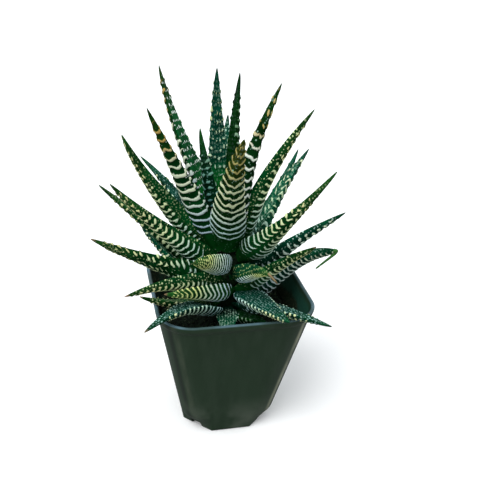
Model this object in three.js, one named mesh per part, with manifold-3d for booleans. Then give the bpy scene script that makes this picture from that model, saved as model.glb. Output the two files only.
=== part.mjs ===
import * as THREE from "three";
import { mergeVertices } from "three/addons/utils/BufferGeometryUtils.js";
import Module from "manifold-3d";

// Zebra haworthia in a square nursery pot: a rosette of pointed fleshy leaves with raised pale cross bands.
// Millimetres, +Z up, origin at the centre of the pot's base, pot sides along X and Y.
// "Around" angles are degrees counterclockwise from +X seen from above.

// Pot
const POT_HEIGHT = 73;
const RIM_HALF_WIDTH = 37.5;
const BASE_HALF_WIDTH = 22.5;
const RIM_CORNER_RADIUS = 16.4;
const BASE_CORNER_RADIUS = 13.8;
const WALL = 1.2;
const FLOOR = 1.6;
const LIP_HEIGHT = 3.5;
const LIP_STEP = 0.7;
const CHAMFER_HEIGHT = 9;
const CHAMFER_START = 10;
const DRAIN_WIDTH = 6;
const DRAIN_HEIGHT = 7;
const CORNER_POINTS = 6;

// Soil
const SOIL_TOP = 56.8;
const SOIL_LUMPS = 0.9;
const FIT_GAP = 0.35;

// Stem with its sheathed core and root stub: height and radius pairs
const STEM_PROFILE = [
  [40, 1.6],
  [46, 3.2],
  [55, 4.6],
  [60, 6.6],
  [90, 7.0],
  [100, 4.6],
  [107, 2.6],
  [111, 1.0],
];
const STEM_SIDES = 20;

// Leaves
const BAND_SPACING = 4.3;
const LEAF_START = -0.04;
const LEAF_THICKNESS = 5.6;
const RIDGE_HEIGHT = 0.5;
const RIDGE_END = 0.84;
const WIDEST_AT = 0.22;
const CLEARANCE = 0.35;

// Each row: name, root around and height, tip around, reach and height, how far the middle arches up,
// how far it sways to the left seen from outside, width, and the turn about its own line at root and tip.
const LEAVES = [
  ["leaf_01", 132, 108, 136, 42, 175, -2, 2, 14, 9, 19],
  ["leaf_02", 190, 97, 198, 42, 166, 0, 0.4, 14.5, 27, 12],
  ["leaf_03", 176, 94.5, 184, 50, 152, -3.7, -3, 17.5, 52, 31],
  ["leaf_04", 137, 88, 129, 60.5, 125.2, 2.5, -1.7, 10, 8, 10],
  ["leaf_05", 195, 88, 191, 57, 132.5, -1.9, -2, 13, 56, 46],
  ["leaf_06", 168, 77, 172, 61, 125, 0.6, -1, 11.5, 0, 0],
  ["leaf_07", 198, 80, 193, 67, 109, -1.8, -1, 15, 58, 58],
  ["leaf_08", 218, 75, 214, 63.5, 90.7, 5.3, 1, 15, 56, 50],
  ["leaf_09", 275, 74, 221, 46.5, 87.6, 0, -1.8, 13, 48, 43],
  ["leaf_10", 202, 66, 201, 48, 79.7, -1, 1, 11, 13, 16],
  ["leaf_11", 230, 62.6, 224, 62.7, 77.2, 6.8, 0, 13.4, 6, 16],
  ["leaf_12", 262, 64.5, 258.5, 35, 71.4, -2.4, 0, 11, 0, 0],
  ["leaf_13", 264, 87.5, 238, 44, 106.4, 0.6, -2.9, 11.2, 52, 53],
  ["leaf_14", 277, 82, 280, 46, 102, 2.4, 3.8, 10.5, -42, -44],
  ["leaf_15", 310, 73.6, 283, 61.2, 87, -0.4, 0.5, 14, -2, 1],
  ["leaf_16", 316, 66, 302.5, 65, 79.8, 2.9, -1.6, 13, -11, -14],
  ["leaf_17", 319, 92, 308, 55, 147, -2.7, -5.4, 13, -58, -25],
  ["leaf_18", 337, 79, 336, 53.6, 119, 1, 3, 14, -45, -35],
  ["leaf_19", 312, 75, 314, 46.3, 108.2, 1.4, 3.8, 13.5, -19, -19],
  ["leaf_20", 328, 67, 329, 52.2, 102.5, 2, 11, 15.5, -58, -58],
  ["leaf_21", 316, 100, 321, 37, 167.4, 3, -5.2, 12.5, -18, -15],
  ["leaf_22", 350, 90, 6, 37.7, 141.2, 1.7, 1, 12, -14, -2],
  ["leaf_23", 35, 89.5, 36, 50.5, 132.7, -0.6, -0.6, 11, -25, -30],
  ["leaf_24", 286, 101, 316, 22.3, 176.5, 0, -10, 12, -15, -15],
  ["leaf_25", 66, 107, 73, 20.7, 173.6, 1.5, 1.9, 13.9, -64, -65],
  ["leaf_26", 110, 105, 96, 28.7, 173.9, 0, 1.4, 12.5, 10, 16],
  ["leaf_27", 82, 100, 81, 52, 145.3, -2.7, 1.4, 10, 3, 5],
  ["leaf_28", 186, 107, 186, 15.7, 153.7, -0.6, 0.5, 12, 10, 5],
  ["leaf_29", 251, 99, 262, 48.5, 162.7, 1.2, -1.7, 15.2, -12, -11],
  ["leaf_30", 38, 74, 47, 58, 82, 0, 0, 13.5, 0, 0],
  ["leaf_31", 78, 84, 76, 60, 118, 0, 0, 14, 0, 0],
  ["leaf_32", 108, 76, 103, 64, 94, 0, 0, 14, 0, 0],
  ["leaf_33", 62, 67, 62, 60, 84, 2, 0, 13, 0, 0],
  ["leaf_34", 92, 66, 90, 58, 85, 3, 0, 13, 0, 0],
  ["leaf_35", 122, 84, 116, 56, 106, 0, 0, 13, 0, 0],
  ["leaf_36", 10, 68, 12, 44, 80, 0, 0, 12, 0, 0],
  ["leaf_37", 174, 68, 180, 41.8, 106.7, 0, 0, 13, 0, 0],
  ["leaf_38", 292, 62, 290, 34, 70, 0, 0, 11, 0, 0],
];

// Shrivelled leaf ends as bent strips: around, reach and height of each bend, from the leaf's tip on.
const DRIED_ENDS = {
  leaf_14: { width: 1.1, thickness: 0.8, bends: [[280, 46, 102], [282.5, 47.5, 99.5], [285, 46, 97]] },
  leaf_20: { width: 2.4, thickness: 1.8, bends: [[328.5, 52.2, 102.2], [328, 51.6, 100.8], [322, 44.3, 93.4]] },
};

// Share of the width that is left at the tip, on most leaves and on the blunt ones.
const TIP_SHARE = 0.05;
const BLUNT_ENDS = { leaf_12: 0.65, leaf_20: 0.25 };

// How straight a leaf narrows: above 1 it stays wide for longer, below 1 it has a long thin tip.
const TAPER = 1.15;
const THIN_TIPS = { leaf_03: 0.92, leaf_05: 0.88, leaf_07: 0.88, leaf_17: 0.72 };

// Share of the width at the root, on most leaves and on the front ones with a rounded root end.
const ROOT_SHARE = 0.72;
const ROUND_ROOTS = { leaf_09: 0.2, leaf_11: 0.4, leaf_12: 0.35, leaf_13: 0.12, leaf_14: 0.2, leaf_15: 0.3 };

// Colour and surface of each kind of piece
const LEAF_LOOK = { color: 0x1f4a2c, roughness: 0.55, metalness: 0 };
const POT_LOOK = { color: 0x26342a, roughness: 0.5, metalness: 0 };
const SOIL_LOOK = { color: 0x17130c, roughness: 0.95, metalness: 0 };
const STEM_LOOK = { color: 0x5a5136, roughness: 0.85, metalness: 0 };

const wasm = await Module();
wasm.setup();
const { Manifold, Mesh } = wasm;

function radians(degrees) {
  return (degrees * Math.PI) / 180;
}

function polar(around, reach, height) {
  const angle = radians(around);
  return new THREE.Vector3(reach * Math.cos(angle), reach * Math.sin(angle), height);
}

// A closed solid from loops of equal point count, stacked in order, with a fan over each end.
function loft(loops) {
  const count = loops[0].length;
  const points = loops.flat();
  const indices = [];
  for (let row = 0; row < loops.length - 1; row++) {
    for (let i = 0; i < count; i++) {
      const j = (i + 1) % count;
      const a = row * count + i;
      const b = row * count + j;
      indices.push(a, b, b + count, a, b + count, a + count);
    }
  }
  for (const end of [0, loops.length - 1]) {
    const centre = new THREE.Vector3();
    loops[end].forEach((p) => centre.addScaledVector(p, 1 / count));
    const hub = points.push(centre) - 1;
    for (let i = 0; i < count; i++) {
      const a = end * count + i;
      const b = end * count + ((i + 1) % count);
      indices.push(...(end === 0 ? [hub, b, a] : [hub, a, b]));
    }
  }
  const geometry = new THREE.BufferGeometry().setFromPoints(points);
  geometry.setIndex(indices);
  return geometry;
}

function solid(geometry) {
  const bare = geometry.clone();
  bare.deleteAttribute("normal");
  bare.deleteAttribute("uv");
  const merged = mergeVertices(bare, 1e-3);
  const vertProperties = new Float32Array(merged.attributes.position.array);
  const triVerts = new Uint32Array(merged.index.array);
  const made = new Manifold(new Mesh({ numProp: 3, vertProperties, triVerts }));
  if (made.volume() > 0) {
    return made;
  }
  return new Manifold(new Mesh({ numProp: 3, vertProperties, triVerts: triVerts.reverse() }));
}

function geometryOf(body) {
  const mesh = body.getMesh();
  const positions = new Float32Array(mesh.numVert * 3);
  for (let i = 0; i < mesh.numVert; i++) {
    const at = i * mesh.numProp;
    positions.set(mesh.vertProperties.subarray(at, at + 3), i * 3);
  }
  const geometry = new THREE.BufferGeometry();
  geometry.setAttribute("position", new THREE.BufferAttribute(positions, 3));
  geometry.setIndex(new THREE.BufferAttribute(mesh.triVerts, 1));
  geometry.computeVertexNormals();
  return geometry;
}

function largestPiece(body) {
  const pieces = body.decompose();
  return pieces.reduce((best, piece) => (piece.volume() > best.volume() ? piece : best));
}

// Square outline with rounded corners at a height, counterclockwise from the +X side.
// Near the base the corners turn into flat cuts between the sides.
function squareLoop(height, inset) {
  const up = Math.min(Math.max(height / POT_HEIGHT, 0), 1);
  const half = BASE_HALF_WIDTH + (RIM_HALF_WIDTH - BASE_HALF_WIDTH) * up - inset;
  const grown = BASE_CORNER_RADIUS + (RIM_CORNER_RADIUS - BASE_CORNER_RADIUS) * up;
  const radius = Math.max(grown - inset, 2);
  const cut = Math.max(0, 1 - height / CHAMFER_HEIGHT);
  const flat = CHAMFER_START - 0.41 * inset;
  const loop = [];
  for (let corner = 0; corner < 4; corner++) {
    const turn = (corner * Math.PI) / 2;
    for (let i = 0; i < CORNER_POINTS; i++) {
      const part = i / (CORNER_POINTS - 1);
      const angle = (part * Math.PI) / 2;
      const roundX = half - radius + radius * Math.cos(angle);
      const roundY = half - radius + radius * Math.sin(angle);
      const flatX = half + (flat - half) * part;
      const flatY = flat + (half - flat) * part;
      const x = roundX + (flatX - roundX) * cut;
      const y = roundY + (flatY - roundY) * cut;
      const px = x * Math.cos(turn) - y * Math.sin(turn);
      const py = x * Math.sin(turn) + y * Math.cos(turn);
      loop.push(new THREE.Vector3(px, py, height));
    }
  }
  return loop;
}

// Thin wall from one closed skin: up the outside, over the rolled lip, down the inside, with a drain
// opening through each cut corner of the base.
function potBody() {
  const lipFoot = POT_HEIGHT - LIP_HEIGHT;
  const outside = [
    squareLoop(0, 0.5),
    squareLoop(0.6, 0),
    squareLoop(4.5, 0),
    squareLoop(CHAMFER_HEIGHT, 0),
    squareLoop(lipFoot - 0.8, 0),
    squareLoop(lipFoot, -LIP_STEP),
    squareLoop(POT_HEIGHT - 0.6, -LIP_STEP),
    squareLoop(POT_HEIGHT, -LIP_STEP + 0.6),
  ];
  const inside = [
    squareLoop(POT_HEIGHT, WALL - 0.5),
    squareLoop(POT_HEIGHT - 0.6, WALL),
    squareLoop(CHAMFER_HEIGHT, WALL),
    squareLoop(4.5, WALL),
    squareLoop(FLOOR, WALL),
  ];
  let body = solid(loft([...outside, ...inside]));
  const drain = new THREE.BoxGeometry(DRAIN_WIDTH, DRAIN_WIDTH, DRAIN_HEIGHT);
  drain.translate(0, 0, DRAIN_HEIGHT / 2 - 2.4);
  for (let corner = 0; corner < 4; corner++) {
    const around = 45 + corner * 90;
    const hole = drain.clone();
    hole.rotateZ(radians(around));
    const at = polar(around, (BASE_HALF_WIDTH + CHAMFER_START) / Math.SQRT2 + 0.6, 0);
    hole.translate(at.x, at.y, 0);
    body = body.subtract(solid(hole));
  }
  return largestPiece(body);
}

function soilHeight(x, y) {
  const lumps = Math.sin(x * 0.31 + 1.3) * Math.cos(y * 0.27) + 0.6 * Math.sin((x + y) * 0.53 + 0.4);
  return SOIL_TOP + SOIL_LUMPS * lumps;
}

// Soil: the pot's inner shape less a small gap, with a lumpy top in shrinking rings.
function soilBody(stem) {
  const inset = WALL + FIT_GAP;
  const below = [FLOOR + FIT_GAP, 4.5, CHAMFER_HEIGHT, 30].map((height) => squareLoop(height, inset));
  const top = [1, 0.82, 0.6, 0.38, 0.16].map((scale) =>
    squareLoop(SOIL_TOP - 1, inset).map((p) => {
      const x = p.x * scale;
      const y = p.y * scale;
      return new THREE.Vector3(x, y, scale === 1 ? SOIL_TOP - 2 : soilHeight(x, y));
    }),
  );
  return largestPiece(solid(loft([...below, ...top].reverse())).subtract(stem));
}

function stemBody(extra) {
  const outline = STEM_PROFILE.map(([height, radius]) => new THREE.Vector2(radius + extra, height));
  outline[0].y -= extra;
  outline[outline.length - 1].y += extra;
  const closed = [new THREE.Vector2(0, outline[0].y), ...outline];
  closed.push(new THREE.Vector2(0, outline[outline.length - 1].y));
  const geometry = new THREE.LatheGeometry(closed, STEM_SIDES);
  geometry.rotateX(Math.PI / 2);
  return solid(geometry);
}

// How far from the axis a leaf's line starts, following the core inward near its top.
function rootReach(height) {
  if (height < 92) {
    return 8.5;
  }
  return Math.max(8.5 - 0.28 * (height - 92), 3.2);
}

// Width share along a leaf: narrow at the root, full at a fifth of the way, then a taper to a point, or to
// the blunt share.
function widthShare(along, neck, taper, blunt) {
  if (along < WIDEST_AT) {
    const part = Math.max(along, 0) / WIDEST_AT;
    return neck + (1 - neck) * part * (2 - part);
  }
  const share = Math.max(1 - Math.pow((along - WIDEST_AT) / (1 - WIDEST_AT), taper), 0);
  const part = Math.min(Math.max((along - 0.4) / 0.6, 0), 1);
  return share + blunt * (1 - share) * part * part * (3 - 2 * part);
}

// A blunt end is rounded off over its last stretch.
function endRounding(along, blunt) {
  const rounder = Math.pow(Math.max(along, 0), 30 / (1 + 4 * blunt));
  return Math.sqrt(Math.max(1 - rounder, 0.08));
}

// The curved line of a leaf from its root to its tip, and the level direction across it.
function leafLine(row) {
  const [, rootAround, rootHeight, tipAround, tipReach, tipHeight, arch, sway] = row;
  const root = polar(rootAround, rootReach(rootHeight), rootHeight);
  const tip = polar(tipAround, tipReach, tipHeight);
  const level = polar(tipAround + 90, 1, 0);
  const chord = tip.clone().sub(root).normalize();
  const lift = new THREE.Vector3().crossVectors(chord, level).normalize();
  const middle = root.clone().add(tip).multiplyScalar(0.5);
  middle.addScaledVector(lift, 2 * arch).addScaledVector(level, 2 * sway);
  return { line: new THREE.QuadraticBezierCurve3(root, middle, tip), level };
}

// Loops across a leaf along its line. The inner face is flat, the outer face is keeled, and every other
// station of the outer face stands up as a raised band.
function leafLoops(row, stations, from, to, extra, bands) {
  const [width, turnRoot, turnTip] = row.slice(8);
  const blunt = BLUNT_ENDS[row[0]] ?? TIP_SHARE;
  const taper = THIN_TIPS[row[0]] ?? TAPER;
  const neck = ROUND_ROOTS[row[0]] ?? ROOT_SHARE;
  const { line, level } = leafLine(row);
  const loops = [];
  for (let station = 0; station < stations; station++) {
    const along = from + ((to - from) * station) / (stations - 1);
    const centre = line.getPoint(along);
    const ahead = new THREE.Vector3();
    ahead.subVectors(line.getPoint(along + 0.01), line.getPoint(along - 0.01)).normalize();
    const side = level.clone().addScaledVector(ahead, -ahead.dot(level)).normalize();
    const inner = new THREE.Vector3().crossVectors(ahead, side);
    const turn = radians(turnRoot + (turnTip - turnRoot) * along);
    const across = side.clone().multiplyScalar(Math.cos(turn)).addScaledVector(inner, Math.sin(turn));
    const upward = inner.clone().multiplyScalar(Math.cos(turn)).addScaledVector(side, -Math.sin(turn));
    const share = widthShare(along, neck, taper, blunt);
    const rounding = endRounding(along, blunt);
    const fade = Math.min(1, Math.max(0, (RIDGE_END - along) * 6));
    const raised = bands && station % 2 === 1 ? RIDGE_HEIGHT * fade : 0;
    const half = ((share * width) / 2 + 0.4) * rounding + extra;
    const over = (share * LEAF_THICKNESS * 0.1 + 0.1) * rounding + extra;
    const under = (Math.pow(share, 0.85) * LEAF_THICKNESS * 0.78 + 0.55) * rounding + extra;
    const outline = [
      [half, over],
      [-half, over],
      [-0.62 * half - 0.5 * raised, -0.66 * under - raised],
      [0, -under - raised],
      [0.62 * half + 0.5 * raised, -0.66 * under - raised],
    ];
    const place = ([x, y]) => centre.clone().addScaledVector(across, x).addScaledVector(upward, y);
    loops.push(outline.map(place));
  }
  return loops;
}

// A strip through the bends of a shrivelled leaf end, tapering a little.
function driedEnd({ width, thickness, bends }) {
  const points = bends.map(([around, reach, height]) => polar(around, reach, height));
  const before = points[0].clone().addScaledVector(points[0].clone().setZ(0).normalize(), -1.5);
  const line = new THREE.CatmullRomCurve3([before, ...points], false, "centripetal");
  const loops = [];
  for (let station = 0; station < 8; station++) {
    const along = station / 7;
    const centre = line.getPoint(along);
    const ahead = line.getTangent(along);
    const across = new THREE.Vector3(-centre.y, centre.x, 0).normalize();
    across.addScaledVector(ahead, -ahead.dot(across)).normalize();
    const upward = new THREE.Vector3().crossVectors(ahead, across);
    const x = (width / 2) * (1 - 0.4 * along);
    const y = (thickness / 2) * (1 - 0.3 * along);
    const corners = [[x, y], [-x, y], [-x, -y], [x, -y]];
    loops.push(corners.map(([a, b]) => centre.clone().addScaledVector(across, a).addScaledVector(upward, b)));
  }
  return solid(loft(loops));
}

function addNode(name, body, look) {
  const mesh = new THREE.Mesh(geometryOf(body), new THREE.MeshStandardMaterial(look));
  mesh.name = name;
  part.add(mesh);
}

const part = new THREE.Group();
part.name = "potted_haworthia";

const stem = stemBody(0);
const stemClear = stemBody(CLEARANCE);
addNode("pot", potBody(), POT_LOOK);
addNode("soil", soilBody(stemClear), SOIL_LOOK);
addNode("stem", stem, STEM_LOOK);

// From the highest root down, each leaf is cut clear of the core and of the roots above it.
const rowsFromTop = [...LEAVES].sort((a, b) => b[2] - a[2]);
const cutters = [];
for (const row of rowsFromTop) {
  const stations = 2 * Math.round(leafLine(row).line.getLength() / BAND_SPACING) + 1;
  let body = solid(loft(leafLoops(row, stations, LEAF_START, 1, 0, true)));
  if (DRIED_ENDS[row[0]]) {
    body = body.add(driedEnd(DRIED_ENDS[row[0]]));
  }
  body = body.subtract(stemClear);
  for (const cutter of cutters) {
    if (body.intersect(cutter).volume() > 0) {
      body = body.subtract(cutter);
    }
  }
  addNode(row[0], largestPiece(body), LEAF_LOOK);
  cutters.push(solid(loft(leafLoops(row, 7, LEAF_START - 0.04, 0.5, CLEARANCE + RIDGE_HEIGHT, false))));
}

export default part;
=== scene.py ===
"""Potted zebra haworthia: a rosette of banded leaves, a square nursery pot, soil and a short stem.

Metres, +Z up, origin at the centre of the pot's base, pot sides along X and Y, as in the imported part.
Sizes inside the classes are millimetres and become metres when a mesh is made.
"""
import logging
import math
from dataclasses import dataclass
from enum import Enum

import bpy
import numpy as np
from mathutils import Matrix, Vector


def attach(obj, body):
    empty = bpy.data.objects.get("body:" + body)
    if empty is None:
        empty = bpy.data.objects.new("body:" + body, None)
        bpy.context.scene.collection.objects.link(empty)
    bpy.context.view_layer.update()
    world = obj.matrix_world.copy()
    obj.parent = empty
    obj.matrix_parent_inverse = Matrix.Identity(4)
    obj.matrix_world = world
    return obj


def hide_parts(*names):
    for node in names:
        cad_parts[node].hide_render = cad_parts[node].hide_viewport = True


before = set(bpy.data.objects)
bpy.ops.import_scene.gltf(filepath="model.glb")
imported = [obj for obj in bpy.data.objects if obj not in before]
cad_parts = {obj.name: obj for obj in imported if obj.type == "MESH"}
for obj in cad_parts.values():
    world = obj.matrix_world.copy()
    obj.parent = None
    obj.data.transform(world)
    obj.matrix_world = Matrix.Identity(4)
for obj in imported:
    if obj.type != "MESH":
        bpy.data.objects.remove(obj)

log = logging.getLogger("haworthia")

MM = 0.001
TINY = 1e-9
WAVES = 8
WAVES_HEIGHT = 2.8
Triple = tuple[float, float, float]
Colour = Triple
Pairs = tuple[tuple[float, float], ...]
Array = np.ndarray
Socket = bpy.types.NodeSocket


# Helpers for arrays


def smooth(low: float, high: float, value: Array) -> Array:
    """A step from 0 at low to 1 at high, with a level start and end: 3t^2 - 2t^3.

    Args:
        low: Where the step starts.
        high: Where the step ends.
        value: The numbers to step.

    Returns:
        An array of the same shape, between 0 and 1.
    """
    t = np.clip((value - low) / (high - low), 0.0, 1.0)
    return t * t * (3.0 - 2.0 * t)


def unit(vectors: Array) -> Array:
    """The vectors along the last axis, scaled to length one."""
    return vectors / np.maximum(np.linalg.norm(vectors, axis=-1, keepdims=True), TINY)


def polar(around: float, reach: float, height: float) -> Array:
    """The point at an angle in degrees from +X, a distance from the axis and a height."""
    angle = math.radians(around)
    return np.array([reach * math.cos(angle), reach * math.sin(angle), height])


def circle(count: int) -> Array:
    """Evenly spread angles around a full turn, as one row."""
    return np.linspace(0.0, math.tau, count, endpoint=False)[None, :]


def lifted(x: Array, y: Array, z: Array) -> Array:
    """Points from their three coordinates, stretched to one shape."""
    return np.stack(np.broadcast_arrays(x, y, z), -1)


def ripples(shape_u: Array, shape_v: Array, seed: int, low: float, high: float) -> Array:
    """Soft waves: a sum of sines of random direction and phase, about one unit high.

    Args:
        shape_u: First coordinate of each point.
        shape_v: Second coordinate of each point.
        seed: Chooses the waves.
        low: Lowest number of cycles in a unit of length.
        high: Highest number of cycles in a unit of length.

    Returns:
        The height of the waves at each point.
    """
    rng = np.random.default_rng(seed)
    count = rng.uniform(low, high, WAVES)
    angle = rng.uniform(0.0, math.tau, WAVES)
    phase = rng.uniform(0.0, math.tau, WAVES)
    across = shape_u[..., None] * np.cos(angle) + shape_v[..., None] * np.sin(angle)
    return np.sin(math.tau * count * across + phase).sum(axis=-1) / WAVES_HEIGHT


@dataclass
class Skin:
    """Points, faces and named values of one surface, in millimetres."""

    points: Array
    faces: list[list[int]]
    values: dict[str, Array]

    def joined(self, other: "Skin") -> "Skin":
        """This surface and another with the same named values, as one."""
        shift = len(self.points)
        values = {name: np.concatenate([mine, other.values[name]]) for name, mine in self.values.items()}
        faces = self.faces + [[index + shift for index in face] for face in other.faces]
        return Skin(np.vstack([self.points, other.points]), faces, values)


def with_poles(grid: Array, first: float, last: float) -> Array:
    """A value at every grid point, with one more for each pole."""
    return np.concatenate([[first], grid.ravel(), [last]])


def closed_skin(grid: Array, first: object, last: object, values: dict | None = None) -> Skin:
    """A closed surface: quads between loops of points and triangles to a pole point at each end.

    Point 0 is the first pole, then come the loops, then the last pole.

    Args:
        grid: Points of shape (loops, points in a loop, 3).
        first: The pole point before the first loop.
        last: The pole point after the last loop.
        values: Named values of all the points, poles too.

    Returns:
        The surface.
    """
    rows, count = grid.shape[:2]
    points = np.vstack([np.reshape(first, (1, 3)), grid.reshape(-1, 3), np.reshape(last, (1, 3))])
    i, j = np.meshgrid(np.arange(rows - 1), np.arange(count), indexing="ij")
    following = (j + 1) % count
    base = 1 + i * count
    quads = np.stack([base + j, base + following, base + count + following, base + count + j], -1)
    k = np.arange(count)
    after = (k + 1) % count
    end = 1 + rows * count
    start_fan = np.stack([np.zeros_like(k), 1 + after, 1 + k], -1)
    end_fan = np.stack([np.full_like(k, end), end - count + k, end - count + after], -1)
    faces = quads.reshape(-1, 4).tolist() + start_fan.tolist() + end_fan.tolist()
    return Skin(points, faces, values or {})


def six_volumes(points: Array, faces: list[list[int]]) -> float:
    """Six times the signed volume of a closed surface: the sum of a . (b x c) over its triangles."""
    triangles = np.array([(face[0], *face[k:k + 2]) for face in faces for k in range(1, len(face) - 1)])
    a, b, c = (points[triangles[:, k]] for k in range(3))
    return float((a * np.cross(b, c)).sum())


def add_object(name: str, data: object) -> bpy.types.Object:
    """A new object with this data, in the scene."""
    made = bpy.data.objects.new(name, data)
    bpy.context.scene.collection.objects.link(made)
    return made


def make_piece(name: str, skin: Skin, material: bpy.types.Material) -> bpy.types.Object:
    """Puts a surface into the scene as one smooth piece that rides on the part.

    Args:
        name: Name of the piece.
        skin: Its surface; its named values become point attributes.
        material: Its finish.

    Returns:
        The new object.
    """
    faces = skin.faces
    if six_volumes(skin.points, faces) < 0.0:
        faces = [face[::-1] for face in faces]
    mesh = bpy.data.meshes.new(name)
    mesh.from_pydata((skin.points * MM).tolist(), [], faces)
    mesh.update()
    for key, numbers in skin.values.items():
        attribute = mesh.attributes.new(key, "FLOAT", "POINT")
        attribute.data.foreach_set("value", numbers.astype(np.float32).ravel())
    mesh.polygons.foreach_set("use_smooth", np.ones(len(mesh.polygons), dtype=bool))
    mesh.materials.append(material)
    piece = add_object(name, mesh)
    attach(piece, "root")
    log.info("%s: %d points, %d faces", name, len(mesh.vertices), len(mesh.polygons))
    return piece


# Helpers for shader nodes


class Nodes:
    """Adds nodes to a tree and links them."""

    def __init__(self, tree: bpy.types.NodeTree) -> None:
        """Keeps the tree that the nodes go into."""
        self.tree = tree

    def add(self, kind: str, inputs: dict | None = None, **settings: object) -> bpy.types.Node:
        """Adds one node.

        Args:
            kind: Blender's node type.
            inputs: Value or output socket for each input, by name or number.
            settings: Properties of the node.

        Returns:
            The new node.
        """
        node = self.tree.nodes.new(kind)
        for key, value in settings.items():
            setattr(node, key, value)
        for key, value in (inputs or {}).items():
            if isinstance(value, Socket):
                self.link(value, node.inputs[key])
            else:
                node.inputs[key].default_value = value
        return node

    def link(self, source: Socket, target: Socket) -> None:
        """Links an output to an input."""
        self.tree.links.new(source, target)

    def math(self, operation: str, first: object, second: object = 0.0) -> Socket:
        """The result of a math node on one or two numbers or sockets."""
        return self.add("ShaderNodeMath", {0: first, 1: second}, operation=operation).outputs[0]

    def times(self, first: object, *others: object) -> Socket:
        """The product of numbers or sockets."""
        for other in others:
            first = self.math("MULTIPLY", first, other)
        return first

    def plus(self, first: object, *others: object) -> Socket:
        """The sum of numbers or sockets."""
        for other in others:
            first = self.math("ADD", first, other)
        return first

    def minus(self, first: object, second: object) -> Socket:
        """The difference of two numbers or sockets."""
        return self.math("SUBTRACT", first, second)

    def step(self, value: object, low: float, high: float, start: float = 0.0, end: float = 1.0) -> Socket:
        """A smooth step of a socket's value from start at low to end at high."""
        inputs = {"Value": value, "From Min": low, "From Max": high, "To Min": start, "To Max": end}
        return self.add("ShaderNodeMapRange", inputs, interpolation_type="SMOOTHSTEP").outputs[0]

    def strip(self, value: object, edges: tuple[float, ...], strength: float = 1.0) -> Socket:
        """A strip that rises between the first two edges and falls from its strength between the last two."""
        rise = self.step(value, edges[0], edges[1])
        return self.times(rise, self.step(value, edges[2], edges[3], strength, 0.0))

    def mix(self, factor: object, first: object, second: object, blend: str = "MIX") -> Socket:
        """Mixes two colours, or lays the second on the first in another way."""
        inputs = {0: factor}
        for index, colour in ((6, first), (7, second)):
            inputs[index] = colour if isinstance(colour, Socket) else (*colour, 1.0)
        return self.add("ShaderNodeMix", inputs, data_type="RGBA", blend_type=blend).outputs[2]

    def ramp(self, factor: object, stops: list[tuple[float, Colour]]) -> Socket:
        """A colour that changes along the stops, each a place and a colour."""
        node = self.add("ShaderNodeValToRGB", {0: factor})
        elements = node.color_ramp.elements
        while len(elements) < len(stops):
            elements.new(0.5)
        for element, (place, colour) in zip(elements, stops):
            element.position = place
            element.color = (*colour, 1.0)
        return node.outputs[0]

    def place(self) -> Socket:
        """The object coordinates."""
        return self.add("ShaderNodeTexCoord").outputs["Object"]

    def value(self, name: str) -> Socket:
        """A point attribute of the piece as a number."""
        return self.add("ShaderNodeAttribute", attribute_name=name).outputs["Fac"]

    def group(self, tree: bpy.types.NodeTree, inputs: dict[str, object]) -> bpy.types.Node:
        """A shared effect with its own values or sockets."""
        return self.add("ShaderNodeGroup", inputs, node_tree=tree)


def new_group(name: str, inputs: dict[str, float], outputs: dict[str, str]) -> tuple[Nodes, object, object]:
    """Starts a shader node group.

    Args:
        name: Name of the group.
        inputs: Default value of each number that goes in.
        outputs: Socket type of each result.

    Returns:
        The group's nodes, its input node and its output node.
    """
    tree = bpy.data.node_groups.new(name, "ShaderNodeTree")
    for key, default in inputs.items():
        socket = tree.interface.new_socket(name=key, in_out="INPUT", socket_type="NodeSocketFloat")
        socket.default_value = default
    for key, kind in outputs.items():
        tree.interface.new_socket(name=key, in_out="OUTPUT", socket_type=kind)
    nodes = Nodes(tree)
    return nodes, nodes.add("NodeGroupInput"), nodes.add("NodeGroupOutput")


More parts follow.
